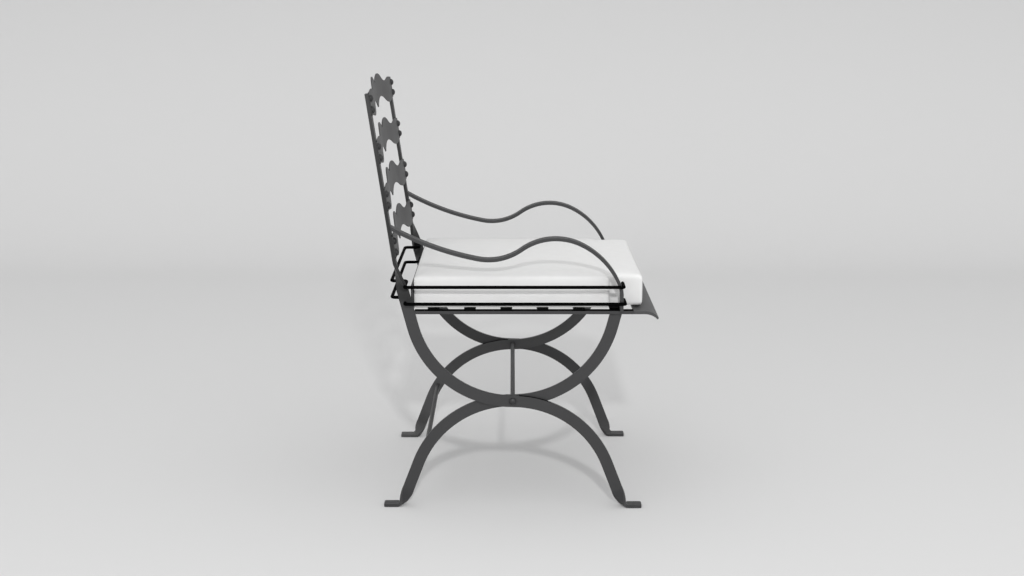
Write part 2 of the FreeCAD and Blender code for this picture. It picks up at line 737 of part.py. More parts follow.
def make_stretcher():
    """Plain round rod welded between the rear legs."""
    body = new_body("rear_stretcher_rod")
    section = new_sketch(body, "stretcher_section", "XZ_Plane")
    arch_foot = "(Sizes.stretcher_height - Sizes.pivot_height + Sizes.hoop_radius)"
    x = "-sqrt(Sizes.hoop_radius ^ 2 - " + arch_foot + " ^ 2)"
    draw_circle(section, x, "Sizes.stretcher_height", "Sizes.stretcher_diameter")
    length = "2 * (Sizes.joint_plane - Sizes.bar_thickness)"
    pad(body, "stretcher_bar", section, length, symmetric=True)
    return body


def tie_rod():
    """Rod between the crossings, its ends turned down through both bars and headed over."""
    shoulder = size("joint_plane") - size("bar_thickness")
    outer = size("joint_plane") + size("bar_thickness")
    along = Vector(0, 1, 0)
    rod = Part.makeCylinder(size("tie_rod_diameter") / 2, 2 * shoulder, -along * shoulder, along)
    pieces = [Part.makeCylinder(size("tie_end_diameter") / 2, 2 * outer, -along * outer, along)]
    for side in (-1, 1):
        head = dome(size("tie_head_diameter"), size("tie_head_height"))
        head.Placement = Placement(along * side * outer, Rotation(Vector(0, 0, 1), side * 90.0))
        pieces.append(head)
    return rod.fuse(pieces).removeSplitter()


WIRE_SIDES = 6


def make_guard_wire(name, height, hook_x):
    """One bent wire: hook before each arm post, run past the arm, through the stile and
    round behind the back of the seat."""
    body = new_body(name)
    outer = "(Sizes.joint_plane + (Sizes.bar_width + Sizes.bar_thickness) / 2 + Sizes.wire_offset)"
    inner = "Sizes.wire_inner_run"
    end = "Sizes.wire_hook_end"
    runs = [("x", hook_x), ("y", "-" + outer), ("x", "-Sizes.wire_hole"), ("y", "-" + inner)]
    runs += [("x", "-Sizes.wire_back"), ("y", inner), ("x", "-Sizes.wire_hole"), ("y", outer)]
    runs += [("x", hook_x)]
    path = new_sketch(body, name + "_path", "XY_Plane", height)
    level = [value_of(path, expression) for axis, expression in runs]
    corners = [(level[0], value_of(path, "-" + end))]
    for n in range(len(runs) - 1):
        a, b = level[n], level[n + 1]
        corners.append((a, b) if runs[n][0] == "x" else (b, a))
    corners.append((level[-1], value_of(path, end)))
    points = [Vector(x, y, 0) for x, y in corners]
    steps = [(b - a).normalize() for a, b in zip(points, points[1:])]
    tight, wide = "Sizes.wire_tight_radius", "Sizes.wire_bend_radius"
    bends = [tight, tight, wide, wide, wide, wide, tight, tight]
    radii = [value_of(path, bend) for bend in bends]
    starts = [points[0]] + [points[n + 1] + steps[n + 1] * r for n, r in enumerate(radii)]
    ends = [points[n + 1] - steps[n] * r for n, r in enumerate(radii)] + [points[-1]]
    for a, b in zip(starts, ends):
        path.addGeometry(Part.LineSegment(a, b), False)
    first_bend = len(runs)
    for n, radius in enumerate(radii):
        arc = first_bend + n
        middle = ends[n] + steps[n + 1] * radius
        leftward = steps[n].cross(steps[n + 1]).z > 0
        begin = ends[n] if leftward else starts[n + 1]
        spoke = begin - middle
        angle = math.atan2(spoke.y, spoke.x)
        circle = Part.Circle(middle, Vector(0, 0, 1), radius)
        path.addGeometry(Part.ArcOfCircle(circle, angle, angle + math.pi / 2), False)
        near, far = (1, 2) if leftward else (2, 1)
        path.addConstraint(Sketcher.Constraint("Coincident", n, 2, arc, near))
        path.addConstraint(Sketcher.Constraint("Coincident", arc, far, n + 1, 1))
        levels = ("Horizontal", "Vertical") if runs[n][0] == "x" else ("Vertical", "Horizontal")
        path.addConstraint(Sketcher.Constraint(levels[0], arc, 3, arc, near))
        path.addConstraint(Sketcher.Constraint(levels[1], arc, 3, arc, far))
        fix(path, "Radius", arc, 0, bends[n])
    for n, (axis, expression) in enumerate(runs):
        upright = axis == "x"
        path.addConstraint(Sketcher.Constraint("Vertical" if upright else "Horizontal", n))
        fix(path, "DistanceX" if upright else "DistanceY", n, 1 if n else 2, expression)
    fix(path, "DistanceY", 0, 1, "-" + end)
    fix(path, "DistanceY", len(runs) - 1, 2, end)
    section = new_sketch(body, name + "_section", "XZ_Plane", end)
    rim = "%s + Sizes.wire_diameter / 2 * %s(%.1f deg)"
    turns = [(n + 0.5) * 360.0 / WIRE_SIDES for n in range(WIRE_SIDES)]
    draw_polygon(section, [(rim % (hook_x, "cos", a), rim % (height, "sin", a)) for a in turns])
    doc.recompute()
    wire = body.newObject("PartDesign::AdditivePipe", name + "_bar")
    wire.Profile = section
    wire.Spine = (path, ["Edge%d" % (n + 1) for n in range(len(path.Shape.Edges))])
    return body


def make_cushion():
    """Boxed cushion: crowned top, rounded edges, front corners notched round the posts."""
    body = new_body("seat_cushion")
    section = new_sketch(body, "cushion_section", "YZ_Plane", "-Sizes.cushion_rear")
    half = size("cushion_half_width")
    foot = size("seat_top") + size("seat_slat_thickness") + size("cushion_gap")
    top = foot + size("cushion_depth")
    crown = Part.Arc(
        Vector(half, top, 0),
        Vector(0, top + size("cushion_crown"), 0),
        Vector(-half, top, 0),
    )
    corners = [(-half, top), (-half, foot), (half, foot), (half, top)]
    for a, b in zip(corners, corners[1:]):
        section.addGeometry(Part.LineSegment(Vector(*a, 0), Vector(*b, 0)), False)
    section.addGeometry(crown, False)
    for joint in [(0, 2, 1, 1), (1, 2, 2, 1), (2, 2, 3, 1), (3, 2, 0, 1)]:
        section.addConstraint(Sketcher.Constraint("Coincident", *joint))
    foot_level = "(Sizes.seat_top + Sizes.seat_slat_thickness + Sizes.cushion_gap)"
    top_level = "(" + foot_level + " + Sizes.cushion_depth)"
    fix(section, "DistanceX", 0, 1, "-Sizes.cushion_half_width")
    fix(section, "DistanceX", 0, 2, "-Sizes.cushion_half_width")
    fix(section, "DistanceX", 2, 1, "Sizes.cushion_half_width")
    fix(section, "DistanceX", 2, 2, "Sizes.cushion_half_width")
    fix(section, "DistanceY", 0, 2, foot_level)
    fix(section, "DistanceY", 2, 1, foot_level)
    fix(section, "DistanceY", 0, 1, top_level)
    fix(section, "DistanceY", 2, 2, top_level)
    fix(
        section, "Radius", 3, 0,
        "(Sizes.cushion_half_width ^ 2 + Sizes.cushion_crown ^ 2) / 2 / Sizes.cushion_crown",
    )
    pad(body, "cushion_block", section, "Sizes.cushion_rear + Sizes.cushion_front")
    doc.recompute()
    low = foot + 0.001
    high = top - 0.001
    groups = [
        ("upright", "cushion_corner", lambda b: b.ZMin < low and b.ZMax > high),
        ("upper", "cushion_edge", lambda b: b.ZMin > high - size("cushion_lower_edge")),
        ("lower", "cushion_lower_edge", lambda b: b.ZMax < low),
    ]
    for word, radius, chosen in groups:
        base = body.Tip
        names = []
        for n, edge in enumerate(base.Shape.Edges):
            if chosen(edge.BoundBox):
                names.append("Edge%d" % (n + 1))
        rounding = body.newObject("PartDesign::Fillet", "cushion_" + word + "_edges")
        rounding.Base = (base, names)
        rounding.setExpression("Radius", "Sizes." + radius)
        doc.recompute()
    notch = new_sketch(body, "cushion_notches", "XY_Plane")
    for sign in ("-", ""):
        wall = sign + "Sizes.notch_wall"
        beyond = sign + "(Sizes.cushion_half_width + Sizes.cushion_edge)"
        start = len(notch.Geometry)
        draw_notch(notch, start, wall, beyond)
    drill_through(body, "cushion_notch_cuts", notch)
    return body


def draw_notch(sketch, start, wall, beyond):
    """One notch, open to the side, drawn after the geometry already in the sketch."""
    rear, front = "Sizes.notch_rear", "Sizes.notch_front"
    corners = [(rear, wall), (front, wall), (front, beyond), (rear, beyond)]
    points = [Vector(value_of(sketch, a), value_of(sketch, b), 0) for a, b in corners]
    for n in range(4):
        sketch.addGeometry(Part.LineSegment(points[n], points[(n + 1) % 4]), False)
    for n in range(4):
        a, b = start + n, start + (n + 1) % 4
        sketch.addConstraint(Sketcher.Constraint("Coincident", a, 2, b, 1))
    for n, (a, b) in enumerate(corners):
        fix(sketch, "DistanceX", start + n, 1, a)
        fix(sketch, "DistanceY", start + n, 1, b)


def hook_place(height):
    """Middle of a wire's hook at a height, in front of the arm post and its bends."""
    offset = size("bar_thickness") / 2 + size("wire_offset")
    for kind, x, z, heading, amount, turn in reversed(arm_course().pieces):
        dx, dz = turned(heading, 0.0, offset)
        if height > z + dz:
            continue
        if kind == "run":
            return x + dx
        cx, cz = turned(heading, 0.0, -amount)
        level = height - z - cz
        return x + cx + math.sqrt((amount + offset) ** 2 - level ** 2)


def derive(alias, value, note):
    """Adds a place that follows from the sizes."""
    write_size(alias, round(value, 3), note)
    doc.recompute()


derive("seat_top", size("pivot_height") + size("seat_rise"), "top of the seat rails")
derive("bend_level", size("seat_top") + size("stile_bend_height"), "bend of the stile")
derive("twist_level", size("seat_top") + size("stile_twist_foot"), "foot of the stile's twist")
slats_rise = size("lowest_slat_height") + (BACK_SLATS - 1) * size("back_slat_pitch")
derive("top_slat_level", size("bend_level") + slats_rise, "middle of the top slat's ends")
derive("stile_top_level", size("top_slat_level") + size("stile_top"), "top of the stiles")
derive("arm_root_level", size("bend_level") + size("arm_root_height"), "arm at the stile")
derive("upper_wire_level", size("seat_top") + size("upper_wire_height"), "upper wire")
derive("lower_wire_level", size("seat_top") + size("lower_wire_height"), "lower wire")
wire_middle = (size("upper_wire_level") + size("lower_wire_level")) / 2
derive("wire_hole", -stile_x(wire_middle) - size("wire_hole_lead"), "holes, behind the crossing")
derive("wire_back", size("wire_hole") + size("wire_back_reach"), "wire's run across the back")
derive("wire_inner_run", size("joint_plane") - size("wire_inner_reach"), "behind the stiles")
bend_corner = size("wire_tight_radius") * (math.sqrt(2.0) - 1.0)
wire_reach = (bend_corner + size("wire_diameter") / 2 + size("wire_gap")) / math.sqrt(2.0)
derive("wire_offset", wire_reach, "wire's centreline to the faces of the arm post it bends round")
derive("upper_hook", hook_place(size("upper_wire_level")), "upper hook, forward")
derive("lower_hook", hook_place(size("lower_wire_level")), "lower hook, forward")
post_inner = size("joint_plane") - (size("bar_width") - size("bar_thickness")) / 2
derive("wire_hook_end", post_inner - size("wire_hook_reach"), "tips of the front hooks")
derive("rail_outer_face", size("joint_plane") + size("bar_thickness"), "outer edge of a rail")
derive("seat_slat_half_length", size("rail_outer_face") - size("seat_slat_inset"), "slat's end")
derive("front_slat_half_length", post_inner - size("front_slat_gap"), "last slat's end")
derive("lip_flat_end", size("rail_front") + size("lip_flat"), "end of the lip's flat part")
derive("lip_reach", size("lip_flat_end") + size("lip_curl"), "foremost point of the lip")
derive("rear_plate_foot", size("seat_top") - size("rear_plate_drop"), "plate behind the seat")
derive("rear_plate_head", size("rear_plate_foot") + size("rear_plate_height"), "its upper edge")
lean = math.radians(size("lower_stile_lean"))
front_edge = stile_x(size("rear_plate_foot")) + size("bar_width") / 2 / math.cos(lean)
derive("rear_plate_front", size("rear_plate_setback") - front_edge, "its front face")
derive("cushion_rear", size("rear_plate_front") - size("cushion_rear_gap"), "cushion's rear face")
derive("cushion_front", size("rail_front") + size("cushion_overhang"), "cushion's front face")
derive("cushion_half_width", post_inner - size("cushion_side_gap"), "cushion's sides")
post_middle = arm_course().x
post_reach = size("bar_thickness") / 2
derive("notch_rear", post_middle - post_reach - size("notch_rear_gap"), "notch's rear wall")
derive("notch_front", post_middle + post_reach + size("notch_front_gap"), "its front wall")
derive("notch_wall", post_inner - size("notch_inner_gap"), "its inner wall")

nodes = []
right_bar = add_feature("right_stile_and_front_leg", right_stile_and_leg())
right_arch = add_feature("right_rear_leg_arch", right_rear_arch())
right_arm_bar = add_feature("right_arm", right_arm())
right_rail = make_right_rail()
nodes += [right_bar, right_arch, right_arm_bar, right_rail]
nodes.append(add_mirrored("left_stile_and_front_leg", right_bar))
nodes.append(add_mirrored("left_rear_leg_arch", right_arch))
nodes.append(add_mirrored("left_arm", right_arm_bar))
nodes.append(add_mirrored("left_seat_rail", right_rail))
crossing = Placement(Vector(0, 0, size("pivot_height")), Rotation())
nodes.append(add_feature("centre_tie_rod", tie_rod(), crossing))
nodes.append(make_stretcher())
for row in range(BACK_SLATS):
    nodes.append(add_feature("back_slat_%d" % (row + 1), back_slat(), slat_place(row)))
nodes.append(add_feature("back_slat_rivets", back_rivets()))
for number in range(SEAT_SLATS):
    nodes.append(make_seat_slat(number))
nodes.append(make_front_lip())
nodes.append(make_rear_plate())
nodes.append(make_guard_wire("upper_guard_wire", "Sizes.upper_wire_level", "Sizes.upper_hook"))
nodes.append(make_guard_wire("lower_guard_wire", "Sizes.lower_wire_level", "Sizes.lower_hook"))
nodes.append(make_cushion())
doc.recompute()

for thing in doc.Objects:
    if "Invalid" in thing.State or "Error" in thing.State:
        raise RuntimeError(thing.Name + " " + str(thing.State))
for node in nodes:
    if node.Shape.isNull() or not node.Shape.isValid():
        raise RuntimeError(node.Label + " has no valid shape")

os.makedirs("parts", exist_ok=True)
for node in nodes:
    node.Shape.exportStep("parts/" + node.Label + ".step")
    print(node.Label, len(node.Shape.Solids), round(node.Shape.Volume))
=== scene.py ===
import json
import math

import bmesh
import bpy
from mathutils import Matrix, Vector

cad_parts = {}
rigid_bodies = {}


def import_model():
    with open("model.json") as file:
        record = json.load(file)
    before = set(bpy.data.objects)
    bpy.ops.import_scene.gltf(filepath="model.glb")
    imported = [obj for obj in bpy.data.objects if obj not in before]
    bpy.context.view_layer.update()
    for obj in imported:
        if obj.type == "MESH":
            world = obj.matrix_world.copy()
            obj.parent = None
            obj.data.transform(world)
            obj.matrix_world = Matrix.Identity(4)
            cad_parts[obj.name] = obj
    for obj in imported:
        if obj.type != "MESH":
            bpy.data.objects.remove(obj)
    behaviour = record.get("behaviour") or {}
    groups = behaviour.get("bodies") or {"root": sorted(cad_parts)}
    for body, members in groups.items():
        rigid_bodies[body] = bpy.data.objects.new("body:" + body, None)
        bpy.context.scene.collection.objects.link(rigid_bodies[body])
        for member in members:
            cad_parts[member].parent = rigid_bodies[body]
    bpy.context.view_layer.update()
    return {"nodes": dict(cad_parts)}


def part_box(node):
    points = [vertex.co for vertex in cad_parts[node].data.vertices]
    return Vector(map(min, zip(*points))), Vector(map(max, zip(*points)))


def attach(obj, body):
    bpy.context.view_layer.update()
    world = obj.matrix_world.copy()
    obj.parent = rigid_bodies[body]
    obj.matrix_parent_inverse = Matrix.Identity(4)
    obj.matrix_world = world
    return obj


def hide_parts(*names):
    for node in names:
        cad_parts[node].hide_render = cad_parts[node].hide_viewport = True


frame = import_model()


# Forged iron bars of the frame.
# Flat bar and plate, bent cold, twisted where it turns, welded and painted dark satin grey.
# The edges of such bar are slightly rounded by rolling, and the paint has a fine grain.

class Number:
    """One number in a finish, written as plain arithmetic."""

    def __init__(self, finish, socket):
        self.finish = finish
        self.socket = socket

    def combine(self, operation, first, second):
        node = self.finish.add("ShaderNodeMath", {"operation": operation}, {0: first, 1: second})
        return Number(self.finish, node.outputs[0])

    def __add__(self, other):
        return self.combine("ADD", self, other)

    def __radd__(self, other):
        return self.combine("ADD", other, self)

    def __sub__(self, other):
        return self.combine("SUBTRACT", self, other)

    def __rsub__(self, other):
        return self.combine("SUBTRACT", other, self)

    def __mul__(self, other):
        return self.combine("MULTIPLY", self, other)

    def __rmul__(self, other):
        return self.combine("MULTIPLY", other, self)


class Finish:
    """A paint or a cloth: one material and the nodes that vary it over the surface."""

    def __init__(self, name, colour, roughness, specular):
        self.material = bpy.data.materials.new(name)
        self.material.use_nodes = True
        self.tree = self.material.node_tree
        self.surface = self.tree.nodes["Principled BSDF"]
        self.surface.inputs["Base Color"].default_value = (*colour, 1.0)
        self.surface.inputs["Roughness"].default_value = roughness
        self.surface.inputs["Specular IOR Level"].default_value = specular
        self.place = self.add("ShaderNodeTexCoord", {}, {}).outputs["Object"]

    def add(self, kind, settings, values):
        node = self.tree.nodes.new(kind)
        for name, value in settings.items():
            setattr(node, name, value)
        for name, value in values.items():
            if isinstance(value, Number):
                value = value.socket
            if isinstance(value, bpy.types.NodeSocket):
                self.tree.links.new(value, node.inputs[name])
            else:
                node.inputs[name].default_value = value
        return node

    def noise(self, scale, detail):
        values = {"Vector": self.place, "Scale": scale, "Detail": detail}
        return Number(self, self.add("ShaderNodeTexNoise", {}, values).outputs["Fac"])

    def axes(self):
        """Depth, width and height over the object, as numbers."""
        split = self.add("ShaderNodeSeparateXYZ", {}, {0: self.place})
        return [Number(self, output) for output in split.outputs]

    def blend(self, amount, first, second):
        """Colour that goes from first to second as amount goes from 0 to 1."""
        values = {0: amount, 6: first, 7: second}
        for number in (6, 7):
            if isinstance(values[number], tuple):
                values[number] = (*values[number], 1.0)
        mix = self.add("ShaderNodeMix", {"data_type": "RGBA"}, values)
        return mix.outputs[2]

    def set(self, name, value):
        socket = value.socket if isinstance(value, Number) else value
        self.tree.links.new(socket, self.surface.inputs[name])

    def emboss(self, height, distance):
        """Relief of this height over the surface, in metres."""
        values = {"Height": height, "Distance": distance, "Strength": 1.0}
        self.set("Normal", self.add("ShaderNodeBump", {}, values).outputs["Normal"])


def paint(name, dark, light, roughness, specular, shade_levels=None):
    """Brushed-on satin paint: soft clouds of tone, a fine grain and faint forging marks.

    Shade levels give two heights for painted shade. It is darkest just above the lower one
    and fades out towards the other.
    """
    finish = Finish(name, dark, roughness, specular)
    clouds = finish.noise(14.0, 3.0)
    grain = finish.noise(1500.0, 2.0)
    marks = finish.noise(60.0, 2.0)
    colour = finish.blend(clouds, dark, light)
    # Painted shade: darkest just above the lower height, fading out towards the upper one.
    if shade_levels:
        foot, head = shade_levels
        height = finish.axes()[2]
        levels = {0: (height - foot) * 100.0, 1: (head - height) * 5.0}
        least = finish.add("ShaderNodeMath", {"operation": "MINIMUM"}, levels)
        colour = finish.blend(Number(finish, least.outputs[0]), colour, (0.003, 0.003, 0.0033))
    finish.set("Base Color", colour)
    finish.set("Roughness", roughness - 0.08 + clouds * 0.1 + grain * 0.06)
    finish.emboss(marks * 0.6 + grain * 0.4, 0.00008)
    return finish.material


satin_dark, satin_light = (0.023, 0.023, 0.024), (0.028, 0.028, 0.029)
shade_foot, shade_head = 0.455, 0.9
iron_paint = paint("dark_iron_paint", satin_dark, satin_light, 0.5, 0.5)
# The stiles' paint carries painted shade, darker low down.
stile_paint = paint(
    "stile_paint_painted_shade", satin_dark, satin_light, 0.5, 0.5, (shade_foot, shade_head)
)
# A lighter copy of the iron paint, as painted light for the rod, the lip and the left arch.
painted_light_paint = paint("iron_paint_painted_light", (0.040, 0.040, 0.041), (0.046, 0.046, 0.047), 0.5, 0.5)

leg_lean = math.radians(21.0)
bar_half_width = 0.0125
bar_half_thickness = 0.0035
foot_twist = 0.030
foot_bend = 0.014
foot_flat = 0.031
foot_corner = 0.004
foot_lead = 0.004
twist_steps = 24
corner_steps = 6


def foot_stations(straight, bend_length, flat):
    """How far along the foot each new section stands, and the bar's half width there."""
    start = straight - foot_twist
    length = foot_twist + bend_length
    stations = [
        (start + length * n / twist_steps, bar_half_width) for n in range(twist_steps + 1)
    ]
    end = straight + bend_length + flat
    for step in range(corner_steps + 1):
        angle = math.pi / 2 * step / corner_steps
        drawn_in = foot_corner * (1.0 - math.cos(angle))
        stations.append((end - foot_corner * (1.0 - math.sin(angle)), bar_half_width - drawn_in))
    return stations


def forge_foot(shape, outward, across):
    """Draws the end of a leg out again: a quarter twist that runs on through the bend."""
    turn = math.pi / 2 - leg_lean
    bend_length = foot_bend * turn
    bend_drop = foot_bend * (1.0 - math.cos(turn))
    down = Vector((outward * math.sin(leg_lean), 0.0, -math.cos(leg_lean)))
    tip = max(vert.co.x * outward for vert in shape.verts if vert.co.z < foot_bend)
    bend_start = Vector((outward * (tip - foot_flat - foot_bend * math.sin(turn)), 0.0, 0.0))
    bend_start.z = bar_half_thickness + bend_drop
    cut = bmesh.ops.bisect_plane(
        shape,
        geom=shape.verts[:] + shape.edges[:] + shape.faces[:],
        plane_co=bend_start - down * (foot_twist + foot_lead),
        plane_no=down,
        clear_outer=True,
    )
    rim = [item for item in cut["geom_cut"] if isinstance(item, bmesh.types.BMVert)]
    if len(rim) != 4:
        raise ValueError("the leg's end has %d corners" % len(rim))
    centre = sum((vert.co for vert in rim), Vector()) / 4
    front = Vector((math.cos(leg_lean) * outward, 0.0, math.sin(leg_lean)))
    sides = []
    for vert in rim:
        offset = vert.co - centre
        sides.append((1 if offset.dot(across) > 0 else -1, 1 if offset.dot(front) < 0 else -1))
    order = sorted(range(4), key=lambda n: (sides[n][0], sides[n][0] * sides[n][1]))
    straight = (centre.z - bar_half_thickness - bend_drop) / math.cos(leg_lean)
    reach = straight * math.sin(leg_lean) + foot_bend * math.sin(turn)
    flat = tip - outward * centre.x - reach
    row = [rim[n] for n in order]
    for distance, half_width in foot_stations(straight, bend_length, flat):
        run = min(distance, straight)
        bent = min(max(distance - straight, 0.0), bend_length)
        heading = bent / foot_bend - turn
        x = run * math.sin(leg_lean) + foot_bend * (math.sin(heading) + math.sin(turn))
        x += max(distance - straight - bend_length, 0.0)
        z = -run * math.cos(leg_lean) - foot_bend * (math.cos(heading) - math.cos(turn))
        twisted = (distance - straight + foot_twist) / (foot_twist + bend_length)
        roll = math.pi / 2 * (1.0 - min(max(twisted, 0.0), 1.0))
        place = centre + Vector((outward * x, 0.0, z))
        normal = Vector((-math.sin(heading) * outward, 0.0, math.cos(heading)))
        thin = (normal * math.cos(roll) + across * math.sin(roll)) * bar_half_thickness
        broad = (across * math.cos(roll) - normal * math.sin(roll)) * half_width
        following = []
        for n in order:
            spot = place + thin * sides[n][0] + broad * sides[n][1]
            spot.z = max(spot.z, 0.0)
            following.append(shape.verts.new(spot))
        for n in range(4):
            shape.faces.new((row[n - 1], row[n], following[n], following[n - 1]))
        row = following
    shape.faces.new(row)
    bmesh.ops.recalc_face_normals(shape, faces=shape.faces)


def rounded_copy(node, name, radius):
    """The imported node's shape with its faces joined and its edges slightly rounded."""
    mesh = frame["nodes"][node].data.copy()
    mesh.materials.clear()
    shape = bmesh.new()
    shape.from_mesh(mesh)
    bmesh.ops.remove_doubles(shape, verts=shape.verts, dist=0.00001)
    bmesh.ops.dissolve_limit(
        shape, angle_limit=math.radians(0.4), verts=shape.verts, edges=shape.edges
    )
    across = Vector((0.0, 1.0 if "right" in node else -1.0, 0.0))
    if "front_leg" in node:
        forge_foot(shape, 1.0, across)
    if "rear_leg" in node:
        forge_foot(shape, -1.0, across)
    for face in shape.faces:
        face.smooth = True
    shape.to_mesh(mesh)
    shape.free()
    piece = bpy.data.objects.new(name, mesh)
    bpy.context.scene.collection.objects.link(piece)
    edge = piece.modifiers.new("rounded_edges", "BEVEL")
    edge.width = radius
    edge.segments = 2
    edge.limit_method = "ANGLE"
    edge.angle_limit = math.radians(35.0)
    piece.modifiers.new("even_shading", "WEIGHTED_NORMAL")
    return piece


bar_edge = 0.0007
plate_edge = 0.0004
bars = {"centre_tie_rod": plate_edge, "rear_stretcher_rod": plate_edge}
bars["front_lip"] = bar_edge
bars["rear_seat_plate"] = bar_edge
for side in ("right", "left"):
    for word in ("stile_and_front_leg", "rear_leg_arch", "arm", "seat_rail"):
        bars[side + "_" + word] = bar_edge
for number in range(1, 5):
    bars["back_slat_%d" % number] = plate_edge

# The stiles carry painted shade, darker low down. The rod, the lip and the left arch take a
# lighter copy of the paint, as painted light.
paints = {"centre_tie_rod": painted_light_paint, "front_lip": painted_light_paint}
paints["left_rear_leg_arch"] = painted_light_paint
paints["right_stile_and_front_leg"] = stile_paint
paints["left_stile_and_front_leg"] = stile_paint
for node, radius in bars.items():
    bar = rounded_copy(node, node + "_bar", radius)
    bar.data.materials.append(paints.get(node, iron_paint))
    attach(bar, "frame")
    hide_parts(node)


# Seat slats.
# Six thin flat bars welded across the rails to carry the cushion. They and the upper faces
# of the rails are painted black, as painted shade for the dark under the cushion.

black_dark, black_light = (0.0006, 0.0006, 0.0007), (0.001, 0.001, 0.0011)
black_and_shade_paint = paint("black_wire_paint", black_dark, black_light, 0.7, 0.02)
for number in range(1, 7):
    node = "seat_slat_%d" % number
    slat = rounded_copy(node, node + "_bar", plate_edge)
    slat.data.materials.append(black_and_shade_paint)
    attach(slat, "frame")
    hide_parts(node)
# The rails' upper faces take the black too, as painted shade under the cushion.
for side in ("right", "left"):
    rail = bpy.data.objects[side + "_seat_rail_bar"]
    rail.data.materials.append(black_and_shade_paint)
    for face in rail.data.polygons:
        if face.normal.z > 0.9:
            face.material_index = 1


# Corners at the crossings.
# The upper edge of each lower bar, where the bar above stands close behind it, is painted
# black, as painted shade for the crevice between them.

crevice_shade_from, crevice_shade_to = 0.006, 0.078
crossing_foot = 0.2
for side in ("right", "left"):
    for word, way in (("stile_and_front_leg", 1.0), ("rear_leg_arch", -1.0)):
        bar = bpy.data.objects[side + "_" + word + "_bar"]
        bar.data.materials.append(black_and_shade_paint)
        for face in bar.data.polygons:
            place = face.center
            if crevice_shade_from < place.x * way < crevice_shade_to and place.z > crossing_foot:
                if face.normal.z > 0.5:
                    face.material_index = 1


# Rivets of the back.
# Sixteen dome heads, two at each end of a back slat, driven hot through slat and stile.
# Their paint, like that of the slats' cut edges, is darker than the bars'.

rivet_paint = paint("rivet_paint", (0.016, 0.016, 0.017), (0.026, 0.026, 0.027), 0.45, 0.4)
for number in range(1, 5):
    slat = bpy.data.objects["back_slat_%d_bar" % number]
    slat.data.materials.append(rivet_paint)
    for face in slat.data.polygons:
        if abs(face.normal.x) < 0.5:
            face.material_index = 1

rivet_radius = 0.0079
rivet_rise = 0.0065
back_lean = math.radians(8.33)


def socket_id(tree, name):
    """Identifier of a tree's named input, which a modifier goes by."""
    for item in tree.interface.items_tree:
        if item.name == name:
            return item.identifier
    raise ValueError("the tree has no input named " + name)


def plain_mesh(piece, material):
    """The shape that a piece's modifiers give, as its own plain mesh."""
    bpy.context.view_layer.update()
    seen = piece.evaluated_get(bpy.context.evaluated_depsgraph_get())
    mesh = bpy.data.meshes.new_from_object(seen)
    piece.modifiers.clear()
    piece.data = mesh
    mesh.materials.clear()
    mesh.materials.append(material)
    for polygon in mesh.polygons:
        polygon.use_smooth = True
    return piece


class Assembly:
    """A Geometry Nodes tree that is built step by step."""

    def __init__(self, name, inputs):
        self.tree = bpy.data.node_groups.new(name, "GeometryNodeTree")
        face = self.tree.interface
        face.new_socket("Geometry", in_out="INPUT", socket_type="NodeSocketGeometry")
        face.new_socket("Geometry", in_out="OUTPUT", socket_type="NodeSocketGeometry")
        for word, kind in inputs.items():
            face.new_socket(word, in_out="INPUT", socket_type="NodeSocket" + kind)
        self.given = self.tree.nodes.new("NodeGroupInput").outputs

    def add(self, kind, settings, values):
        node = self.tree.nodes.new(kind)
        for name, value in settings.items():
            setattr(node, name, value)
        for name, value in values.items():
            if isinstance(value, bpy.types.NodeSocket):
                self.tree.links.new(value, node.inputs[name])
            else:
                node.inputs[name].default_value = value
        return node.outputs

    def close(self, geometry):
        """Ends the tree in plain faces with the given material."""
        real = self.add("GeometryNodeRealizeInstances", {}, {"Geometry": geometry})[0]
        values = {"Geometry": real, "Material": self.given["Material"]}
        painted = self.add("GeometryNodeSetMaterial", {}, values)[0]
        output = self.tree.nodes.new("NodeGroupOutput")
        self.tree.links.new(painted, output.inputs["Geometry"])

    def apply(self, piece, values, material):
        step = piece.modifiers.new(self.tree.name, "NODES")
        step.node_group = self.tree
        for name, value in dict(values, Material=material).items():
            step[socket_id(self.tree, name)] = value
        return plain_mesh(piece, material)


rivet_inputs = {"Radius": "Float", "Rise": "Float", "Lean": "Float", "Material": "Material"}
rivets = Assembly("rivet_heads", rivet_inputs)
ball = rivets.add("GeometryNodeMeshUVSphere", {}, {"Segments": 40, "Rings": 24, "Radius": 1.0})[0]
spot = rivets.add("GeometryNodeInputPosition", {}, {})[0]
parts = rivets.add("ShaderNodeSeparateXYZ", {}, {0: spot})
above = rivets.add("ShaderNodeMath", {"operation": "MAXIMUM"}, {0: parts[2], 1: 0.0})[0]
halved = rivets.add("ShaderNodeCombineXYZ", {}, {0: parts[0], 1: parts[1], 2: above})[0]
cap = rivets.add("GeometryNodeSetPosition", {}, {"Geometry": ball, "Position": halved})[0]
girth = rivets.given["Radius"]
stretch = rivets.add(
    "ShaderNodeCombineXYZ", {}, {0: girth, 1: girth, 2: rivets.given["Rise"]}
)[0]
head = rivets.add("GeometryNodeTransform", {}, {"Geometry": cap, "Scale": stretch})[0]
tilt = rivets.add(
    "ShaderNodeMath", {"operation": "SUBTRACT"}, {0: math.pi / 2, 1: rivets.given["Lean"]}
)[0]
turn = rivets.add("ShaderNodeCombineXYZ", {}, {0: 0.0, 1: tilt, 2: 0.0})[0]
hammered = rivets.add(
    "FunctionNodeRandomValue", {"data_type": "FLOAT"}, {2: 0.97, 3: 1.02, "Seed": 4}
)[1]
placed = rivets.add(
    "GeometryNodeInstanceOnPoints",
    {},
    {"Points": rivets.given["Geometry"], "Instance": head, "Rotation": turn, "Scale": hammered},
)[0]
rivets.close(placed)


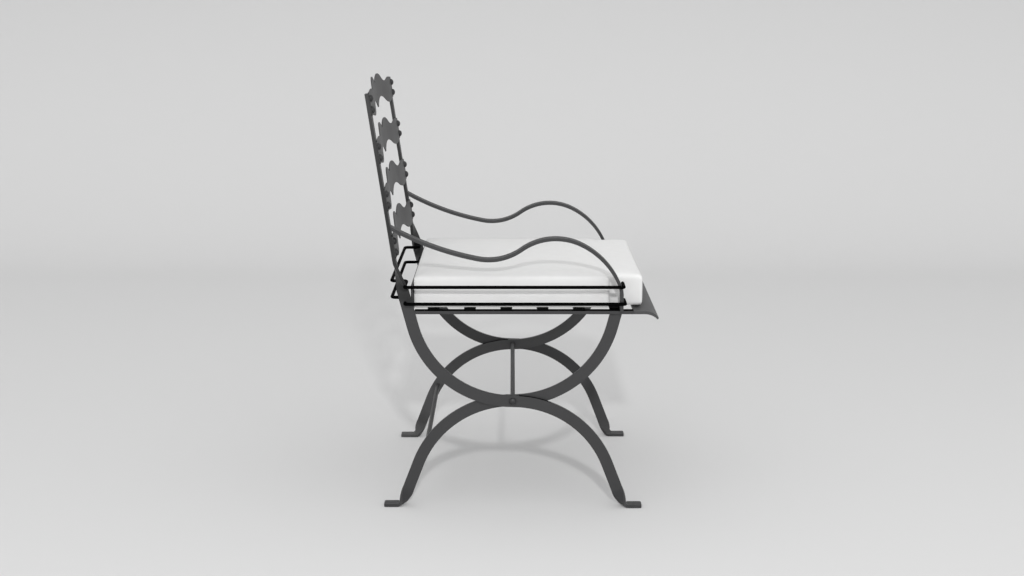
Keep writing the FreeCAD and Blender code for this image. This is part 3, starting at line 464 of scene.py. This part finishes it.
def rivet_seats(node):
    """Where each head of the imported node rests, in the middle of its foot."""
    outward = Vector((math.cos(back_lean), 0.0, math.sin(back_lean)))
    shape = bmesh.new()
    shape.from_mesh(frame["nodes"][node].data)
    bmesh.ops.remove_doubles(shape, verts=shape.verts, dist=0.00001)
    seats = []
    waiting = set(shape.verts)
    while waiting:
        found = [waiting.pop()]
        for vert in found:
            near = {edge.other_vert(vert) for edge in vert.link_edges} & waiting
            waiting -= near
            found += near
        depth = min(vert.co.dot(outward) for vert in found)
        foot = [vert.co for vert in found if vert.co.dot(outward) < depth + 0.0001]
        seats.append(sum(foot, Vector()) / len(foot))
    shape.free()
    return sorted(seats, key=lambda seat: (round(seat.z, 4), seat.y))


points = bpy.data.meshes.new("rivet_seats")
points.from_pydata(rivet_seats("back_slat_rivets"), [], [])
heads = bpy.data.objects.new("back_rivet_heads", points)
bpy.context.scene.collection.objects.link(heads)
rivets.apply(heads, {"Radius": rivet_radius, "Rise": rivet_rise, "Lean": back_lean}, rivet_paint)
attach(heads, "frame")
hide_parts("back_slat_rivets")


# Heads of the tie rod.
# The rod's ends pass through both crossings and are hammered over into low domes, which
# take the rivets' darker paint.

tie_head_radius = 0.0082
tie_head_rise = 0.0052
tie_seat = 0.2562
point = bpy.data.meshes.new("head_seat")
point.from_pydata([(0.0, 0.0, 0.0)], [], [])
rod_heads = bpy.data.objects.new("tie_rod_heads", point)
bpy.context.scene.collection.objects.link(rod_heads)
shape_values = {"Radius": tie_head_radius, "Rise": tie_head_rise, "Lean": math.pi / 2}
rivets.apply(rod_heads, shape_values, rivet_paint)
rod_low, rod_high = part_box("centre_tie_rod")
pair = bmesh.new()
for way in (1.0, -1.0):
    before = set(pair.verts)
    pair.from_mesh(rod_heads.data)
    fresh = [vert for vert in pair.verts if vert not in before]
    seat = Vector(((rod_low.x + rod_high.x) / 2, way * tie_seat, (rod_low.z + rod_high.z) / 2))
    pose = Matrix.Translation(seat) @ Matrix.Rotation(-way * math.pi / 2, 4, "X")
    bmesh.ops.transform(pair, matrix=pose, verts=fresh)
bmesh.ops.recalc_face_normals(pair, faces=pair.faces)
pair.to_mesh(rod_heads.data)
pair.free()
rod = bpy.data.objects["centre_tie_rod_bar"]
for vert in rod.data.vertices:
    vert.co.y = max(-tie_seat, min(tie_seat, vert.co.y))
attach(rod_heads, "frame")


# Guard wires round the seat.
# Two black round wires, each one piece: hooked round both arm posts, straight past the
# arms, through a hole in each stile and round behind the back of the seat.

wire_radius = 0.0036
drawn_radius = 0.003
wire_flat = drawn_radius * math.cos(math.pi / 6)
stile_hole = -0.2277
run_behind_stile = 0.200
hook_end = 0.2235
tight_bend = 0.0045
wide_bend = 0.009

wire_inputs = {"Radius": "Float", "Corner steps": "Int", "Sides": "Int", "Material": "Material"}
wires = Assembly("bent_wire", wire_inputs)
route = wires.add("GeometryNodeMeshToCurve", {}, {"Mesh": wires.given["Geometry"]})[0]
bend = wires.add("GeometryNodeInputNamedAttribute", {"data_type": "FLOAT"}, {"Name": "bend"})[0]
rounded = wires.add(
    "GeometryNodeFilletCurve",
    {"mode": "POLY"},
    {"Curve": route, "Radius": bend, "Count": wires.given["Corner steps"]},
)[0]
section = wires.add(
    "GeometryNodeCurvePrimitiveCircle",
    {"mode": "RADIUS"},
    {"Resolution": wires.given["Sides"], "Radius": wires.given["Radius"]},
)[0]
drawn = wires.add(
    "GeometryNodeCurveToMesh",
    {},
    {"Curve": rounded, "Profile Curve": section, "Fill Caps": True},
)[0]
wires.close(drawn)

for node in ("upper_guard_wire", "lower_guard_wire"):
    low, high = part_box(node)
    back = low.x + wire_flat
    hook = high.x - wire_flat
    outer = high.y - wire_flat
    level = (low.z + high.z) / 2
    half = [(hook, hook_end), (hook, outer), (stile_hole, outer)]
    half += [(stile_hole, run_behind_stile), (back, run_behind_stile)]
    corners = [Vector((x, y, level)) for x, y in half]
    corners += [Vector((x, -y, level)) for x, y in reversed(half)]
    bends = [0.0, tight_bend, tight_bend, wide_bend, wide_bend]
    bends += reversed(bends)
    line = bpy.data.meshes.new(node + "_route")
    line.from_pydata(corners, [(n, n + 1) for n in range(len(corners) - 1)], [])
    line.attributes.new("bend", "FLOAT", "POINT").data.foreach_set("value", bends)
    wire = bpy.data.objects.new(node + "_round", line)
    bpy.context.scene.collection.objects.link(wire)
    wires.apply(wire, {"Radius": wire_radius, "Corner steps": 8, "Sides": 24}, black_and_shade_paint)
    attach(wire, "frame")
    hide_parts(node)


# Seat cushion.
# Foam block in a plain white woven cover, as wide as the space between the arms and stepped
# in at the front to pass between their posts. It lies loose on the slats and lifts off.

cotton = Finish("white_fabric", (0.7, 0.7, 0.695), 0.9, 0.15)
threads = 1400.0
warp, weft, rise = [axis * threads for axis in cotton.axes()]


def wave(angle):
    node = cotton.add("ShaderNodeMath", {"operation": "SINE"}, {0: angle})
    return Number(cotton, node.outputs[0])


weave = wave(warp + rise) * wave(weft + rise * 0.5)
slub = cotton.noise(45.0, 4.0)
creases = cotton.noise(9.0, 2.0)
cotton.set("Base Color", cotton.blend(slub, (0.685, 0.685, 0.68), (0.725, 0.725, 0.722)))
cotton.set("Roughness", 0.82 + slub * 0.14)
cotton.emboss(weave * 0.12 + slub * 0.2 + creases * 0.9, 0.0006)

cushion_low, cushion_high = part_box("seat_cushion")
slat_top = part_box("seat_slat_3")[1].z
body_half = 0.2435
tongue_half = 0.2205
step_at = 0.2070
rear_seam = -0.2165
front_seam = 0.2835
lower_seam = 0.4388
corner_cut = 0.004
upper_edge = 0.009
lower_edge = 0.006
rim_steps = 4
voxel = 0.005
cloth_steps = 20
smoothing_rounds = 8
pull = 0.0015
reach = 0.005
side_pull = 0.0015
front_lift = 0.004
lift_run = 0.02
rest_gap = 0.0003
arm_gap = 0.2390


def cut_outline(inset):
    """The cover's outline in plan, drawn in by inset, with each corner softened."""
    rear = rear_seam + inset
    front = front_seam - inset
    step = step_at - inset
    wide = body_half - inset
    narrow = tongue_half - inset
    half = [(rear, -wide), (step, -wide), (step, -narrow), (front, -narrow)]
    corners = [Vector(spot) for spot in half + [(x, -y) for x, y in reversed(half)]]
    outline = []
    for number, corner in enumerate(corners):
        before = corner + (corners[number - 1] - corner).normalized() * corner_cut
        after = corner + (corners[(number + 1) % len(corners)] - corner).normalized() * corner_cut
        for share in (0.0, 0.25, 0.5, 0.75, 1.0):
            outline.append(before.lerp(corner, share).lerp(corner.lerp(after, share), share))
    return outline


def cover_mesh():
    """The sewn cover before it is filled: the outline raised, with its rims rounded."""
    angles = [math.pi / 2 * step / rim_steps for step in range(rim_steps + 1)]
    rings = []
    for angle in angles:
        level = lower_seam + lower_edge * (1.0 - math.cos(angle))
        rings.append((lower_edge * (1.0 - math.sin(angle)), level))
    for angle in angles:
        level = cushion_high.z - upper_edge * (1.0 - math.sin(angle))
        rings.append((upper_edge * (1.0 - math.cos(angle)), level))
    shape = bmesh.new()
    rows = []
    for inset, level in rings:
        rows.append([shape.verts.new((x, y, level)) for x, y in cut_outline(inset)])
    for lower, upper in zip(rows, rows[1:]):
        for n in range(len(lower)):
            shape.faces.new((lower[n - 1], lower[n], upper[n], upper[n - 1]))
    shape.faces.new(reversed(rows[0]))
    shape.faces.new(rows[-1])
    bmesh.ops.recalc_face_normals(shape, faces=shape.faces)
    mesh = bpy.data.meshes.new("seat_cushion_cover")
    shape.to_mesh(mesh)
    shape.free()
    return mesh


cushion = bpy.data.objects.new("seat_cushion_cover", cover_mesh())
bpy.context.scene.collection.objects.link(cushion)
remesh = cushion.modifiers.new("even_mesh", "REMESH")
remesh.mode = "VOXEL"
remesh.voxel_size = voxel
plain_mesh(cushion, cotton.material)
start = [vert.co.copy() for vert in cushion.data.vertices]
for vert in cushion.data.vertices:
    vert.co -= vert.normal * pull
cloth = cushion.modifiers.new("stuffing", "CLOTH")
cloth.settings.use_pressure = True
cloth.settings.uniform_pressure_force = 8.0
cloth.settings.effector_weights.gravity = 0.0
cloth.settings.tension_stiffness = 15.0
cloth.settings.compression_stiffness = 15.0
cloth.settings.bending_stiffness = 2.0
cloth.point_cache.frame_start = 1
cloth.point_cache.frame_end = cloth_steps
for step in range(1, cloth_steps + 1):
    bpy.context.scene.frame_set(step)
plain_mesh(cushion, cotton.material)
bpy.context.scene.frame_set(1)
moves = [vert.co - home for vert, home in zip(cushion.data.vertices, start)]
near = [[] for move in moves]
for edge in cushion.data.edges:
    first, second = edge.vertices
    near[first].append(second)
    near[second].append(first)
for turn in range(smoothing_rounds):
    moves = [
        (move + sum((moves[n] for n in others), Vector())) / (1 + len(others))
        for move, others in zip(moves, near)
    ]
middle = (cushion_low.x + step_at) / 2
half_length = (step_at - cushion_low.x) / 2
for vert, home, move in zip(cushion.data.vertices, start, moves):
    vert.co = home + move * min(1.0, reach / max(move.length, reach / 10))
    along = max(0.0, 1.0 - ((home.x - middle) / half_length) ** 2)
    across = max(0.0, 1.0 - (home.y / tongue_half) ** 2)
    height = (home.z - cushion_low.z) / (cushion_high.z - cushion_low.z)
    ahead = min(1.0, max(0.0, (home.x - step_at) / lift_run))
    vert.co.z += front_lift * ahead * (home.y / tongue_half) ** 8 * max(0.0, 1.0 - height)
    vert.co.x -= side_pull * across * max(0.0, home.x / cushion_high.x) ** 4
    vert.co.y -= side_pull * along * (home.y / body_half) ** 3
    vert.co.x = max(vert.co.x, cushion_low.x - rest_gap)
    vert.co.y = max(-arm_gap, min(arm_gap, vert.co.y))
    vert.co.z = max(vert.co.z, slat_top + rest_gap)
fine = cushion.modifiers.new("finer", "SUBSURF")
fine.levels = 1
fine.render_levels = 1
plain_mesh(cushion, cotton.material)
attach(cushion, "cushion")
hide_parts("seat_cushion")


# Room for the picture.
# One matt pale sheet: a level floor that rises in a wide bend into a wall behind the chair.

room = Finish("pale_floor", (0.62, 0.62, 0.62), 0.9, 0.1)
floor_front = -9.0
bend_start = 2.3
bend_radius = 1.1
wall_height = 6.0
half_width = 12.0
profile = [(floor_front, 0.0), (bend_start, 0.0)]
steps = 24
for step in range(1, steps + 1):
    angle = math.pi / 2 * step / steps
    profile.append(
        (bend_start + bend_radius * math.sin(angle), bend_radius * (1.0 - math.cos(angle)))
    )
profile.append((bend_start + bend_radius, wall_height))
corners = [(x, y, z) for y, z in profile for x in (-half_width, half_width)]
faces = [(2 * n, 2 * n + 1, 2 * n + 3, 2 * n + 2) for n in range(len(profile) - 1)]
sweep = bpy.data.meshes.new("floor_and_wall")
sweep.from_pydata(corners, [], faces)
for polygon in sweep.polygons:
    polygon.use_smooth = True
sweep.materials.append(room.material)
floor = bpy.data.objects.new("floor_and_wall", sweep)
bpy.context.scene.collection.objects.link(floor)


# Light.
# An even pale sky, and one soft lamp on the camera's side, a little to the right.

sky = bpy.data.worlds.new("pale_sky")
sky.use_nodes = True
sky.node_tree.nodes["Background"].inputs["Color"].default_value = (1.0, 1.0, 1.0, 1.0)
sky.node_tree.nodes["Background"].inputs["Strength"].default_value = 1.05
bpy.context.scene.world = sky

lamp_place = Vector((0.31, -4.76, 2.89))
lamp_aim = Vector((0.0, 0.0, 0.4))
lamp = bpy.data.lights.new("soft_lamp", "AREA")
lamp.shape = "DISK"
lamp.size = 0.25
lamp.energy = 106.0
lamp_object = bpy.data.objects.new("soft_lamp", lamp)
lamp_object.location = lamp_place
lamp_object.rotation_euler = (lamp_aim - lamp_place).to_track_quat("-Z", "Y").to_euler()
bpy.context.scene.collection.objects.link(lamp_object)


# Camera.
# Straight at the chair's right side, a little above the back, looking slightly down.

eye = bpy.data.cameras.new("side_view")
eye.lens = 50.0
eye.sensor_width = 36.0
camera = bpy.data.objects.new("side_view", eye)
camera.location = (-0.0015, -3.196, 1.1135)
camera.rotation_euler = (math.radians(78.0), 0.0, 0.0)
bpy.context.scene.collection.objects.link(camera)
bpy.context.scene.camera = camera
bpy.context.scene.view_settings.view_transform = "Standard"
